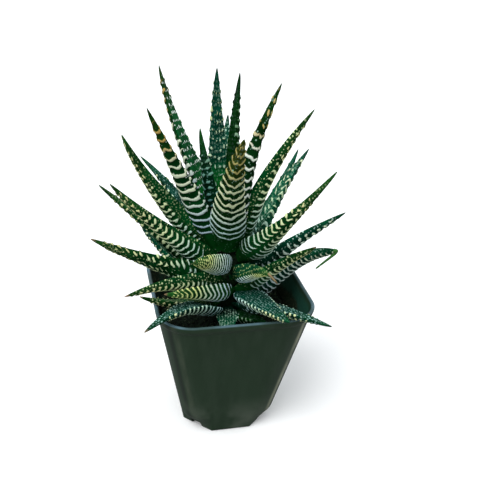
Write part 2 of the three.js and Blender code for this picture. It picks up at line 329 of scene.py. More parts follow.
class Effects:
    """Shader effects that several finishes share, each built once."""

    def __init__(self) -> None:
        """Builds the groups."""
        self.mottle = self._mottle()
        self.specks = self._specks()
        self.rows = self._rows()

    def _mottle(self) -> bpy.types.NodeTree:
        """Uneven tone and grain: broad noise for colour, fine noise for bump, on object coordinates."""
        nodes, start, end = new_group(
            "Mottle",
            {"Broad Scale": 80.0, "Fine Scale": 1200.0},
            {"Tone": "NodeSocketFloat", "Grain": "NodeSocketFloat"},
        )
        place = nodes.place()
        broad = nodes.add("ShaderNodeTexNoise", {"Vector": place, "Scale": start.outputs[0], "Detail": 3.0})
        fine = nodes.add("ShaderNodeTexNoise", {"Vector": place, "Scale": start.outputs[1], "Detail": 2.0})
        nodes.link(nodes.step(broad.outputs[0], 0.3, 0.7), end.inputs[0])
        nodes.link(fine.outputs[0], end.inputs[1])
        return nodes.tree

    def _specks(self) -> bpy.types.NodeTree:
        """Round dots of uneven size: the distance to the nearest of scattered points, cut at a radius."""
        nodes, start, end = new_group(
            "Specks",
            {"Scale": 650.0, "Radius": 0.3, "Share": 0.7},
            {"Mask": "NodeSocketFloat"},
        )
        place = nodes.place()
        cells = nodes.add("ShaderNodeTexVoronoi", {"Vector": place, "Scale": start.outputs[0]})
        chance = nodes.add("ShaderNodeSeparateColor", {0: cells.outputs["Color"]})
        radius = nodes.times(start.outputs[1], nodes.plus(chance.outputs[0], 0.45))
        inside = nodes.minus(radius, cells.outputs["Distance"])
        dot = nodes.step(inside, -0.03, 0.07)
        kept = nodes.math("LESS_THAN", chance.outputs[1], start.outputs[2])
        nodes.link(nodes.times(dot, kept), end.inputs[0])
        return nodes.tree

    def _rows(self) -> bpy.types.NodeTree:
        """Fine dots in rows: nearly even points on the leaf's own length and width, each a small oval.

        The way from the nearest point is turned from lattice steps back into millimetres, shortened along
        the leaf, and compared with the radius.
        """
        nodes, start, end = new_group(
            "Rows",
            {"Down": 0.0, "Wide": 0.0, "Pitch Down": 2.0, "Pitch Wide": 1.4, "Radius": 0.4, "Random": 0.4},
            {"Mask": "NodeSocketFloat"},
        )
        down = nodes.math("DIVIDE", start.outputs[0], start.outputs[2])
        wide = nodes.math("DIVIDE", start.outputs[1], start.outputs[3])
        place = nodes.add("ShaderNodeCombineXYZ", {0: down, 1: wide}).outputs[0]
        cells = nodes.add(
            "ShaderNodeTexVoronoi",
            {"Vector": place, "Scale": 1.0, "Randomness": start.outputs[5]},
            voronoi_dimensions="2D",
        )
        chance = nodes.add("ShaderNodeSeparateColor", {0: cells.outputs["Color"]})
        radius = nodes.times(start.outputs[4], nodes.plus(chance.outputs[0], 0.4))
        ends = {0: place, 1: cells.outputs["Position"]}
        away = nodes.add("ShaderNodeVectorMath", ends, operation="SUBTRACT").outputs[0]
        step = nodes.add("ShaderNodeSeparateXYZ", {0: away})
        far_down = nodes.times(step.outputs[0], start.outputs[2], 0.7)
        far_wide = nodes.times(step.outputs[1], start.outputs[3])
        squares = nodes.plus(nodes.times(far_down, far_down), nodes.times(far_wide, far_wide))
        inside = nodes.minus(radius, nodes.math("SQRT", squares))
        nodes.link(nodes.step(inside, -0.05, 0.09), end.inputs[0])
        return nodes.tree


class Surface(Nodes):
    """A new material with its nodes and its shader."""

    def __init__(self, name: str) -> None:
        """Makes the material."""
        self.material = bpy.data.materials.new(name)
        self.material.use_nodes = True
        super().__init__(self.material.node_tree)
        self.shader = next(node for node in self.tree.nodes if node.type == "BSDF_PRINCIPLED")

    def feed(self, colour: Socket, rough: Socket, gloss: float, bump: tuple[Socket, float, float]) -> None:
        """Feeds the shader a colour, a roughness, a sheen and a bump: height, strength, depth in metres."""
        self.link(colour, self.shader.inputs["Base Color"])
        self.link(rough, self.shader.inputs["Roughness"])
        self.shader.inputs["Specular IOR Level"].default_value = gloss
        height, strength, depth = bump
        normal = self.add("ShaderNodeBump", {"Height": height, "Strength": strength, "Distance": depth})
        self.link(normal.outputs[0], self.shader.inputs["Normal"])


@dataclass(frozen=True)
class LeafFinish:
    """Waxy leaf skin with pale bands, pale specks and a dry tip."""

    name: str
    outer: Colour = (0.0008, 0.034, 0.006)
    inner: Colour = (0.001, 0.06, 0.014)
    tip: Colour = (0.006, 0.054, 0.008)
    # Band colour near the root: the bands' own pale colour with a blue cast of painted shade.
    band_root: Colour = (0.56, 0.82, 0.84)
    band_middle: Colour = (0.82, 0.92, 0.62)
    band_top: Colour = (0.72, 0.52, 0.14)
    speck: Colour = (0.5, 0.8, 0.62)
    dry: Colour = (0.4, 0.24, 0.16)
    speck_share: float = 0.6
    row_pitch: float = 2.2
    row_wide: float = 1.4
    row_radius: float = 0.42
    row_random: float = 0.45
    top_from: float = 0.68
    root: Colour = (0.003, 0.06, 0.009)
    heart: Colour = (0.006, 0.15, 0.02)
    roughness: float = 0.5
    gloss: float = 0.02
    edge_noise: float = 0.9
    band_cover: float = 0.95
    bump_depth: float = 0.0003

    def build(self, effects: Effects) -> bpy.types.Material:
        """Makes the material.

        The band mask is a smooth step of the ridge value, roughened by fine noise. Bands take a colour
        that runs from root to tip, its bluish root colour partly painted shade, and the skin is darker
        outside than inside.

        Args:
            effects: The shared shader effects.

        Returns:
            The finished material.
        """
        nodes = Surface(self.name)
        along, inner, dry = nodes.value("along"), nodes.value("inner"), nodes.value("dry")
        mottle = nodes.group(effects.mottle, {"Broad Scale": 160.0, "Fine Scale": 1500.0})
        rough_edge = nodes.times(nodes.minus(mottle.outputs[1], 0.5), self.edge_noise)
        band = nodes.step(nodes.plus(nodes.value("ridge"), rough_edge), 0.0, 0.4)
        inside = nodes.mix(nodes.step(along, 0.12, 0.45, 1.0, 0.0), self.inner, self.heart)
        outside = nodes.mix(nodes.step(along, 0.02, 0.2, 1.0, 0.0), self.outer, self.root)
        skin = nodes.mix(inner, outside, inside)
        skin = nodes.mix(nodes.step(along, 0.55, 1.0), skin, self.tip)
        shade = nodes.plus(nodes.times(mottle.outputs[0], 0.7), 0.65)
        skin = nodes.mix(1.0, skin, self._grey(nodes, shade), "MULTIPLY")
        stops = [(0.22, self.band_root), (0.45, self.band_middle)]
        stops += [(self.top_from - 0.14, self.band_middle), (self.top_from, self.band_top)]
        colour = nodes.mix(nodes.times(band, self.band_cover), skin, nodes.ramp(along, stops))
        specks = nodes.group(effects.specks, {"Scale": 820.0, "Radius": 0.25, "Share": self.speck_share})
        upper = nodes.step(along, 0.4, 0.6, 0.15, 0.55)
        speck = nodes.times(specks.outputs[0], nodes.times(upper, nodes.step(along, 0.7, 0.95, 1.0, 0.0)))
        lattice = {"Pitch Down": self.row_pitch, "Pitch Wide": self.row_wide, "Radius": self.row_radius}
        lattice |= {"Down": nodes.value("down"), "Wide": nodes.value("wide"), "Random": self.row_random}
        rows = nodes.group(effects.rows, lattice)
        speck = nodes.math("MAXIMUM", speck, nodes.times(rows.outputs[0], nodes.value("fine")))
        colour = nodes.mix(dry, nodes.mix(speck, colour, self.speck), self.dry)
        wax = nodes.plus(nodes.times(band, 0.15), self.roughness)
        height = nodes.plus(band, nodes.times(speck, 0.7), nodes.times(mottle.outputs[1], 0.15))
        nodes.feed(colour, wax, self.gloss, (height, 0.7, self.bump_depth))
        return nodes.material

    @staticmethod
    def _grey(nodes: Nodes, value: object) -> Socket:
        """A grey of the given brightness."""
        return nodes.add("ShaderNodeCombineColor", {0: value, 1: value, 2: value}).outputs[0]


class Tone(Enum):
    """The leaf finishes of this plant. Some are darker or bluer copies that paint shade on leaves lying in
    shadow.
    """

    DEEP = LeafFinish(
        "leaf_deep", inner=(0.001, 0.085, 0.02), band_root=(0.46, 0.6, 0.7),
        band_middle=(0.74, 0.8, 0.58), band_top=(0.5, 0.34, 0.1), tip=(0.008, 0.04, 0.004),
        speck=(0.9, 1.0, 0.92), row_pitch=3.6, row_wide=1.75, row_radius=0.42, row_random=0.28,
        top_from=0.77, speck_share=0.2,
    )
    # Painted shade: a bluer, darker skin for leaves that lie in shadow.
    BLUE = LeafFinish(
        "leaf_shaded_blue", outer=(0.0006, 0.026, 0.014), inner=(0.0008, 0.042, 0.026), tip=(0.003, 0.056, 0.02),
        band_middle=(0.66, 0.92, 0.68), band_top=(0.74, 0.82, 0.44), speck=(0.46, 0.78, 0.7), row_pitch=1.8,
        row_wide=1.5, row_radius=0.3, row_random=0.5, heart=(0.001, 0.052, 0.03), root=(0.001, 0.04, 0.02),
    )
    HEART = LeafFinish(
        "leaf_heart", outer=(0.0008, 0.034, 0.016), inner=(0.001, 0.046, 0.026), tip=(0.002, 0.046, 0.024),
        band_root=(0.62, 0.92, 0.8), band_middle=(0.66, 0.84, 0.56), band_top=(0.6, 0.66, 0.36),
        heart=(0.007, 0.28, 0.022), speck_share=0.4,
    )
    # Its heart is painted shade: the inner face goes dark toward the root.
    TEAL = LeafFinish(
        "leaf_teal", outer=(0.001, 0.078, 0.034), inner=(0.0012, 0.105, 0.046), tip=(0.003, 0.07, 0.036),
        band_root=(0.5, 0.8, 0.74), band_middle=(0.66, 0.88, 0.56), band_top=(0.76, 0.86, 0.56),
        speck=(0.5, 0.8, 0.6), heart=(0.0006, 0.022, 0.012), speck_share=0.3, row_pitch=1.7,
        row_wide=1.3, row_radius=0.34,
    )
    ICE = LeafFinish(
        "leaf_ice", outer=(0.0008, 0.036, 0.02), inner=(0.0015, 0.072, 0.036), tip=(0.003, 0.07, 0.026),
        band_root=(0.72, 0.88, 0.9), band_middle=(0.78, 0.94, 0.82), band_top=(0.8, 0.9, 0.66),
        speck=(0.62, 0.88, 0.78), row_pitch=1.9, row_wide=1.5, row_radius=0.25, dry=(0.06, 0.16, 0.03),
        heart=(0.0008, 0.034, 0.018),
    )
    WARM = LeafFinish(
        "leaf_warm", outer=(0.0015, 0.042, 0.008), inner=(0.002, 0.062, 0.014),
        band_root=(0.6, 0.82, 0.72), band_middle=(0.8, 0.9, 0.5), band_top=(0.78, 0.78, 0.38),
        speck=(0.66, 0.8, 0.42), tip=(0.012, 0.066, 0.01), row_pitch=1.6, row_wide=1.2, row_radius=0.24,
        row_random=0.6, top_from=0.72, heart=(0.0015, 0.07, 0.012),
    )
    YOUNG = LeafFinish(
        "leaf_young", outer=(0.003, 0.05, 0.01), inner=(0.003, 0.07, 0.03),
        band_root=(0.66, 0.86, 0.92), band_middle=(0.78, 0.94, 0.66), band_top=(0.86, 0.95, 0.36),
        speck=(0.62, 0.8, 0.32), tip=(0.02, 0.12, 0.02), row_pitch=1.4, row_wide=1.3, row_radius=0.2,
        dry=(0.3, 0.19, 0.11), top_from=0.6, heart=(0.0015, 0.046, 0.02),
    )
    SHADE = LeafFinish(
        "leaf_shade", outer=(0.0005, 0.022, 0.008), inner=(0.001, 0.046, 0.018),
        band_root=(0.13, 0.3, 0.32), band_middle=(0.16, 0.36, 0.3), band_top=(0.18, 0.34, 0.24),
        speck=(0.22, 0.46, 0.42),
    )
    # Painted shadow: the leaf finish with darker skin and bands darkening toward the tip.
    SHADOWED = LeafFinish(
        "leaf_shadowed", outer=(0.0002, 0.024, 0.001), inner=(0.0003, 0.026, 0.002),
        tip=(0.0006, 0.024, 0.003), band_root=(0.7, 0.84, 0.86), band_middle=(0.3, 0.46, 0.32),
        band_top=(0.1, 0.22, 0.1), speck=(0.34, 0.52, 0.46), root=(0.001, 0.02, 0.003),
        heart=(0.001, 0.04, 0.006), speck_share=0.3,
    )
    OCHRE = LeafFinish(
        "leaf_ochre", outer=(0.0015, 0.026, 0.003), band_root=(0.52, 0.72, 0.7),
        band_middle=(0.74, 0.8, 0.5), band_top=(0.54, 0.46, 0.16), tip=(0.04, 0.06, 0.006),
        top_from=0.74,
    )
    WHITE = LeafFinish(
        "leaf_white", outer=(0.001, 0.024, 0.004), band_root=(0.84, 0.92, 0.92),
        band_middle=(0.86, 0.92, 0.8), band_top=(0.56, 0.44, 0.15), top_from=0.76,
        tip=(0.004, 0.034, 0.003),
    )


@dataclass(frozen=True)
class PotFinish:
    """Thin dark plastic with drag marks and greener patches, painted highlights on the corners and the lip,
    painted shade beside the corner highlights, and painted light that makes the inner wall lighter and bluer.

    Dust lies low down outside, and soil stains the inner wall. Edges of strips and heights are in metres.
    """

    name: str = "pot_plastic"
    plastic: Colour = (0.014, 0.034, 0.015)
    worn: Colour = (0.036, 0.06, 0.036)
    green: Colour = (0.008, 0.032, 0.01)
    dust: Colour = (0.135, 0.158, 0.124)
    # Painted highlight: pale bluish colour along the top of the lip.
    lip: Colour = (0.09, 0.165, 0.2)
    # Painted light: the inner wall is painted lighter and bluer than the same plastic outside.
    inside: Colour = (0.018, 0.075, 0.052)
    # Painted highlight: pale colour of the strip down each corner, strongest on the +X side.
    corner: Colour = (0.33, 0.34, 0.24)
    # Painted shade: dark colour of the strip beside each corner highlight.
    corner_shade: Colour = (0.007, 0.017, 0.008)
    stain: Colour = (0.012, 0.026, 0.013)
    grain: Colour = (0.07, 0.072, 0.045)
    drag_scale: Triple = (260.0, 260.0, 14.0)
    # Edges in |x| - |y| of the painted shade strip and of the painted highlight strip.
    corner_shade_strip: tuple[float, ...] = (-0.0006, 0.0014, 0.003, 0.0052)
    corner_highlight_strip: tuple[float, ...] = (-0.0062, -0.0034, -0.0018, 0.0004)
    stain_heights: tuple[float, float] = (0.054, 0.073)
    dust_heights: tuple[float, float] = (0.004, 0.026)
    lip_highlight_heights: tuple[float, float] = (0.0722, 0.0728)

    def build(self, effects: Effects) -> bpy.types.Material:
        """Makes the material.

        Noise stretched upright gives the drag marks. The corner strips, a painted highlight with painted
        shade beside it, lie where |x| - |y| is near 0, the highlight stronger on the +X side. Noise times a
        step of the height gives the dust, the stains and the painted highlight on the lip.

        Args:
            effects: The shared shader effects.

        Returns:
            The finished material.
        """
        nodes = Surface(self.name)
        place = nodes.place()
        stretched = nodes.add("ShaderNodeMapping", {"Vector": place, "Scale": self.drag_scale}).outputs[0]
        noise = nodes.add("ShaderNodeTexNoise", {"Vector": stretched, "Scale": 1.0, "Detail": 3.0})
        streak = nodes.step(noise.outputs[0], 0.35, 0.75)
        patch, fleck = nodes.group(effects.mottle, {"Broad Scale": 45.0, "Fine Scale": 900.0}).outputs
        inner = nodes.value("inner")
        axes = nodes.add("ShaderNodeSeparateXYZ", {0: place}).outputs
        height = axes[2]
        colour = nodes.mix(nodes.times(streak, 0.5), self.plastic, self.worn)
        colour = nodes.mix(nodes.times(patch, 0.35), colour, self.worn)
        colour = nodes.mix(nodes.times(patch, 0.45), colour, self.green)
        far_x, far_y = nodes.math("ABSOLUTE", axes[0]), nodes.math("ABSOLUTE", axes[1])
        off_corner = nodes.minus(far_x, far_y)
        # Painted shade: a dark strip beside each corner.
        colour = nodes.mix(nodes.strip(off_corner, self.corner_shade_strip, 0.9), colour, self.corner_shade)
        # Painted highlight down the corners, stronger on the +X side where the light falls.
        one_side = nodes.step(axes[0], -0.01, 0.01, 0.06, 0.85)
        corner_highlight = nodes.times(nodes.strip(off_corner, self.corner_highlight_strip), one_side, nodes.plus(streak, 0.5))
        colour = nodes.mix(corner_highlight, colour, self.corner)
        # Painted light on the inner wall.
        colour = nodes.mix(inner, colour, self.inside)
        near_soil = nodes.step(height, *self.stain_heights, 0.55, -0.12)
        stained = nodes.step(nodes.plus(patch, near_soil), 0.45, 0.85)
        soiled = nodes.mix(nodes.step(fleck, 0.52, 0.62, 0.0, 0.8), self.stain, self.grain)
        colour = nodes.mix(nodes.times(stained, inner), colour, soiled)
        low = nodes.step(height, *self.dust_heights, 1.0, 0.0)
        dust = nodes.times(low, nodes.step(patch, 0.25, 1.0), 0.55)
        colour = nodes.mix(dust, colour, self.dust)
        # Painted highlight along the top of the lip, broken up by noise.
        glint = nodes.times(nodes.step(height, *self.lip_highlight_heights), nodes.step(patch, 0.0, 0.8, 0.35, 1.0))
        colour = nodes.mix(glint, colour, self.lip)
        dull = nodes.plus(nodes.times(dust, 0.5), nodes.times(streak, 0.08), 0.38)
        bump = nodes.plus(nodes.times(streak, 0.5), nodes.times(fleck, 0.3))
        nodes.feed(colour, dull, 0.3, (bump, 0.25, 0.0002))
        return nodes.material


@dataclass(frozen=True)
class CrumbFinish:
    """Rough dark matter: moist soil, bark chips, or the dry stem."""

    name: str
    dark: Colour
    light: Colour
    scale: float = 500.0
    depth: float = 0.0008

    def build(self, effects: Effects) -> bpy.types.Material:
        """Makes the material: broad noise and scattered dots pick between the dark and the light colour.

        Args:
            effects: The shared shader effects.

        Returns:
            The finished material.
        """
        nodes = Surface(self.name)
        patch, fleck = nodes.group(effects.mottle, {"Broad Scale": self.scale, "Fine Scale": 2200.0}).outputs
        specks = nodes.group(effects.specks, {"Scale": 420.0, "Radius": 0.3, "Share": 0.25})
        colour = nodes.mix(patch, self.dark, self.light)
        colour = nodes.mix(nodes.times(specks.outputs[0], 0.5), colour, self.light)
        rough = nodes.plus(nodes.times(fleck, 0.2), 0.75)
        bump = nodes.plus(patch, nodes.times(fleck, 0.5))
        nodes.feed(colour, rough, 0.2, (bump, 0.8, self.depth))
        return nodes.material


# Pot, soil and stem


@dataclass
class Pot:
    """Square tapered nursery pot with rounded corners, a rolled lip and a drain opening in each cut corner.

    Foot lists the height and inset of its lowest outlines, lip the depth below the rim and the inset of its
    highest ones.
    """

    height: float = 73.0
    rim_half: float = 37.5
    base_half: float = 22.5
    rim_radius: float = 16.4
    base_radius: float = 13.8
    wall: float = 1.2
    floor: float = 1.6
    chamfer_height: float = 9.0
    chamfer_start: float = 10.0
    drain_width: float = 6.0
    drain_height: float = 7.0
    corner_points: int = 22
    least_radius: float = 2.0
    sharp_angle: float = 32.0
    drain_below: float = 2.4
    drain_out: float = 0.6
    foot: Pairs = ((0.0, 0.9), (0.1, 0.5), (0.35, 0.15), (0.8, 0.0))
    lip: Pairs = (
        (4.2, -0.04), (3.8, -0.25), (3.5, -0.5), (3.1, -0.66), (2.4, -0.7), (1.0, -0.7), (0.5, -0.6),
        (0.18, -0.35), (0.0, 0.1), (0.0, 0.5), (0.12, 0.85), (0.4, 1.1), (0.9, 1.2),
    )

    def loops(self, heights: Array, insets: Array) -> Array:
        """Rounded square outlines, one for each height and inset.

        Each side's half width and corner radius grow in a straight line from base to rim. Below the
        chamfer height the round corners blend into flat cuts between the sides.

        Args:
            heights: Height of each outline.
            insets: How far each outline lies inside the outer wall.

        Returns:
            Points of shape (outlines, 4 * corner_points, 3).
        """
        up = np.clip(heights / self.height, 0.0, 1.0)[:, None]
        inset = insets[:, None]
        half = self.base_half + (self.rim_half - self.base_half) * up - inset
        radius = self.base_radius + (self.rim_radius - self.base_radius) * up - inset
        radius = np.maximum(radius, self.least_radius)
        cut = np.maximum(0.0, 1.0 - heights / self.chamfer_height)[:, None]
        flat = self.chamfer_start - 0.41 * inset
        part = np.linspace(0.0, 1.0, self.corner_points)[None, :]
        angle = part * math.pi / 2.0
        x = half - radius + radius * np.cos(angle)
        y = half - radius + radius * np.sin(angle)
        x = x + (half + (flat - half) * part - x) * cut
        y = y + (flat + (half - flat) * part - y) * cut
        turned = [(x, y), (-y, x), (-x, -y), (y, -x)]
        return np.concatenate([lifted(a, b, heights[:, None]) for a, b in turned], axis=1)

    def build(self, finish: PotFinish, effects: Effects) -> None:
        """Makes the pot from one closed skin and cuts the drain openings.

        The profile runs up the outside, over a half-round lip, down the inside and across the floor.

        Args:
            finish: The pot's finish.
            effects: The shared shader effects.
        """
        top, bend = self.height, self.chamfer_height
        outside = [*self.foot, *((z, 0.0) for z in np.linspace(1.6, bend, 12))]
        outside += [(z, 0.0) for z in np.linspace(12.0, top - 4.6, 26)]
        outside += [(top - down, inset) for down, inset in self.lip]
        inside = [(z, self.wall) for z in np.linspace(top - 4.0, bend, 22)]
        inside += [(z, self.wall) for z in np.linspace(bend - 1.0, self.floor, 6)]
        profile = np.array(outside + inside)
        grid = self.loops(profile[:, 0], profile[:, 1])
        is_inner = np.repeat((np.arange(len(grid)) >= len(outside)).astype(float), grid.shape[1])
        skin = closed_skin(grid, (0, 0, 0), (0, 0, self.floor), {"inner": with_poles(is_inner, 0.0, 1.0)})
        piece = make_piece("pot_shell", skin, finish.build(effects))
        self._cut_drains(piece)
        piece.data.set_sharp_from_angle(angle=math.radians(self.sharp_angle))
        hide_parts("pot")

    def _cut_drains(self, piece: bpy.types.Object) -> None:
        """Cuts a box out of each cut corner, from below the base upward.

        Args:
            piece: The pot's piece, whose mesh is replaced by the cut one.
        """
        reach = (self.base_half + self.chamfer_start) / math.sqrt(2.0) + self.drain_out
        half, low = self.drain_width / 2.0, -self.drain_below
        levels = (low, low + self.drain_height)
        corners = np.array([[x, y, z] for z in levels for y in (-half, half) for x in (-half, half)])
        faces = [[0, 2, 3, 1], [4, 5, 7, 6], [0, 1, 5, 4], [2, 6, 7, 3], [0, 4, 6, 2], [1, 3, 7, 5]]
        points: list[Array] = []
        all_faces: list[list[int]] = []
        for corner in range(4):
            angle = math.radians(45.0 + 90.0 * corner)
            c, s = math.cos(angle), math.sin(angle)
            spin = np.array([[c, s, 0.0], [-s, c, 0.0], [0.0, 0.0, 1.0]])
            points.append(corners @ spin + np.array([reach * c, reach * s, 0.0]))
            all_faces += [[8 * corner + i for i in face] for face in faces]
        cutter_mesh = bpy.data.meshes.new("drain_cutter")
        cutter_mesh.from_pydata((np.vstack(points) * MM).tolist(), [], all_faces)
        cutter = add_object("drain_cutter", cutter_mesh)
        cut = piece.modifiers.new("drains", "BOOLEAN")
        cut.operation = "DIFFERENCE"
        cut.solver = "EXACT"
        cut.object = cutter
        bpy.context.view_layer.update()
        evaluated = piece.evaluated_get(bpy.context.evaluated_depsgraph_get())
        made = bpy.data.meshes.new_from_object(evaluated)
        piece.modifiers.clear()
        old = piece.data
        piece.data = made
        made.name = "pot_shell"
        bpy.data.meshes.remove(old)
        bpy.data.objects.remove(cutter)
        bpy.data.meshes.remove(cutter_mesh)


@dataclass
class Soil:
    """Potting soil that fills the pot to below its rim, with bark chips on top.

    Shoulder lists depths below the top: of the last upright outline, of the edge, and of the rim outline.
    The chips lie in a square with rounded corners.
    """

    top: float = 56.8
    lumps: float = 0.9
    gap: float = 0.35
    side_heights: tuple[float, float] = (4.5, 30.0)
    shoulder: Triple = (3.0, 2.2, 1.0)
    rings: int = 70
    chips: int = 420
    chip_seed: int = 12
    chip_reach: float = 31.0
    chip_square: float = 17.0
    chip_corner: float = 13.0
    chip_rise: float = 0.1
    chip_sizes: Pairs = ((0.5, 1.9), (0.35, 0.9), (0.2, 0.5))

    def height_at(self, x: Array, y: Array) -> Array:
        """Height of the soil: broad lumps, smaller clods and crumbs, each a sum of waves."""
        lumps = np.sin(x * 0.31 + 1.3) * np.cos(y * 0.27) + 0.6 * np.sin((x + y) * 0.53 + 0.4)
        clods = ripples(x, y, 3, 0.08, 0.22)
        crumbs = ripples(x, y, 4, 0.3, 0.8)
        return self.top - 0.2 + self.lumps * lumps * 0.8 + 0.35 * clods + 0.22 * crumbs

    def build(self, pot: Pot, finish: CrumbFinish, chip_finish: CrumbFinish, effects: Effects) -> None:
        """Makes the soil block, then scatters the chips.

        Outlines inside the pot's wall run up to the edge of the soil. Above it the rim outline shrinks
        toward the middle and takes its height from height_at.

        Args:
            pot: The pot that the soil fills.
            finish: The soil's finish.
            chip_finish: The finish of the chips.
            effects: The shared shader effects.
        """
        inset = pot.wall + self.gap
        bottom = pot.floor + self.gap
        first, second = self.side_heights
        upright, edge_drop, rim_drop = self.shoulder
        sides = np.array([bottom, first, pot.chamfer_height, second, self.top - upright])
        below = pot.loops(sides, np.full(len(sides), inset))
        scales = np.linspace(1.0, 0.02, self.rings)
        rim = pot.loops(np.array([self.top - rim_drop]), np.array([inset]))[0]
        top = rim[None, :, :] * scales[:, None, None]
        edge = smooth(0.0, 0.05, 1.0 - scales)[:, None]
        height = self.height_at(top[..., 0], top[..., 1])
        top[..., 2] = height * edge + (self.top - edge_drop) * (1.0 - edge)
        middle = float(self.height_at(np.zeros(1), np.zeros(1))[0])
        skin = closed_skin(np.concatenate([below, top]), (0, 0, bottom), (0, 0, middle))
        piece = make_piece("soil_bed", skin, finish.build(effects))
        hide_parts("soil")
        self._scatter(chip_finish, effects)

    def _scatter(self, finish: CrumbFinish, effects: Effects) -> None:
        """Lays flat chips of random size on the soil.

        A chip is an eight-faced double pyramid, stretched by a random length, width and thickness, tilted
        and turned at random, with its middle just above the ground.

        Args:
            finish: The finish of the chips.
            effects: The shared shader effects.
        """
        rng = np.random.default_rng(self.chip_seed)
        spot = rng.uniform(-self.chip_reach, self.chip_reach, (self.chips, 2))
        spot = spot[np.hypot(*np.maximum(np.abs(spot) - self.chip_square, 0.0).T) < self.chip_corner]
        count = len(spot)
        corner = np.array([[1, 0, 0], [0, 1, 0], [-1, 0, 0], [0, -1, 0], [0, 0, 1], [0, 0, -1]], float)
        size = np.stack([rng.uniform(*span, count) for span in self.chip_sizes], -1)
        shape = corner[None] * size[:, None, :] * rng.uniform(0.75, 1.15, (count, 6, 1))
        yaw, tilt = rng.uniform(0.0, math.tau, count), rng.normal(0.0, 0.3, count)
        x, z = self._turned(shape[..., 0], shape[..., 2], tilt)
        x, y = self._turned(x, shape[..., 1], yaw)
        ground = self.height_at(spot[:, 0], spot[:, 1])[:, None]
        points = np.stack([x + spot[:, :1], y + spot[:, 1:], z + ground + self.chip_rise], -1).reshape(-1, 3)
        upper = [[0, 1, 4], [1, 2, 4], [2, 3, 4], [3, 0, 4]]
        faces = np.array(upper + [[second, first, 5] for first, second, _ in upper])
        every = (faces[None] + 6 * np.arange(count)[:, None, None]).reshape(-1, 3)
        make_piece("soil_chips", Skin(points, every.tolist(), {}), finish.build(effects))

    @staticmethod
    def _turned(first: Array, second: Array, angle: Array) -> tuple[Array, Array]:
        """Two coordinates of each chip's points, turned by the chip's angle."""
        c, s = np.cos(angle)[:, None], np.sin(angle)[:, None]
        return first * c - second * s, first * s + second * c


@dataclass
class Stem:
    """Short stem with its sheathed core, widest where the leaves grow, and a root stub in the soil."""

    profile: Pairs = (
        (40.0, 1.6), (46.0, 3.2), (55.0, 4.6), (60.0, 6.6), (90.0, 7.0), (100.0, 4.6), (107.0, 2.6),
        (111.0, 1.0),
    )
    sheaths: int = 16
    sheath_rise: float = 4.2
    rings: int = 90
    ring_points: int = 48

    def build(self, finish: CrumbFinish, effects: Effects) -> None:
        """Makes a turned skin through the profile; sloping sheath edges ripple it a little."""
        known = np.array(self.profile)
        height = np.linspace(known[0, 0], known[-1, 0], self.rings)[:, None]
        radius = np.interp(height, known[:, 0], known[:, 1])
        angle = circle(self.ring_points)
        edge = (height / self.sheath_rise + self.sheaths * angle / math.tau / 4.0) % 1.0
        radius = radius * (0.93 + 0.05 * edge * smooth(0.0, 0.2, 1.0 - edge))
        grid = lifted(radius * np.cos(angle), radius * np.sin(angle), height)
        skin = closed_skin(grid, (0, 0, known[0, 0]), (0, 0, known[-1, 0]))
        piece = make_piece("stem_core", skin, finish.build(effects))
        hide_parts("stem")


# Leaves


@dataclass(frozen=True)
class Banding:
    """How a leaf's raised bands run.

    Spacing is in millimetres, bold thickens the bands, and broken_from and ends_from are shares of the
    length. Inner_share is how much of the bands crosses the inner face. On one side of the edge, given as
    -1 or 1, bare takes the bands away. Fine is the strength of the rows of dots on the inner face and on
    that side. Bow is the depth of a band's bend in spacings, peak the height of the bump at its middle,
    split shifts the bands across the keel so that each half has crescents of its own, and dots is the
    number of pieces a broken band falls into. Valley widens the gaps between bands, broken is the strength
    of the breaks, and each fade is how far the field sinks where the bands end.
    """

    spacing: float = 3.4
    bold: float = 0.0
    broken_from: float = 0.32
    ends_from: float = 0.72
    inner_share: float = 0.0
    bare: float = 0.0
    edge: float = 0.0
    fine: float = 0.7
    bow: float = 0.75
    keel: float = 0.0
    split: float = 0.0
    dots: float = 2.3
    peak: float = 0.38
    valley: float = 0.22
    broken: float = 0.62
    tip_fade: float = 2.2
    root_fade: float = 2.4
    bare_fade: float = 2.0
    split_fade: float = 2.4
    inner_fade: float = 3.0


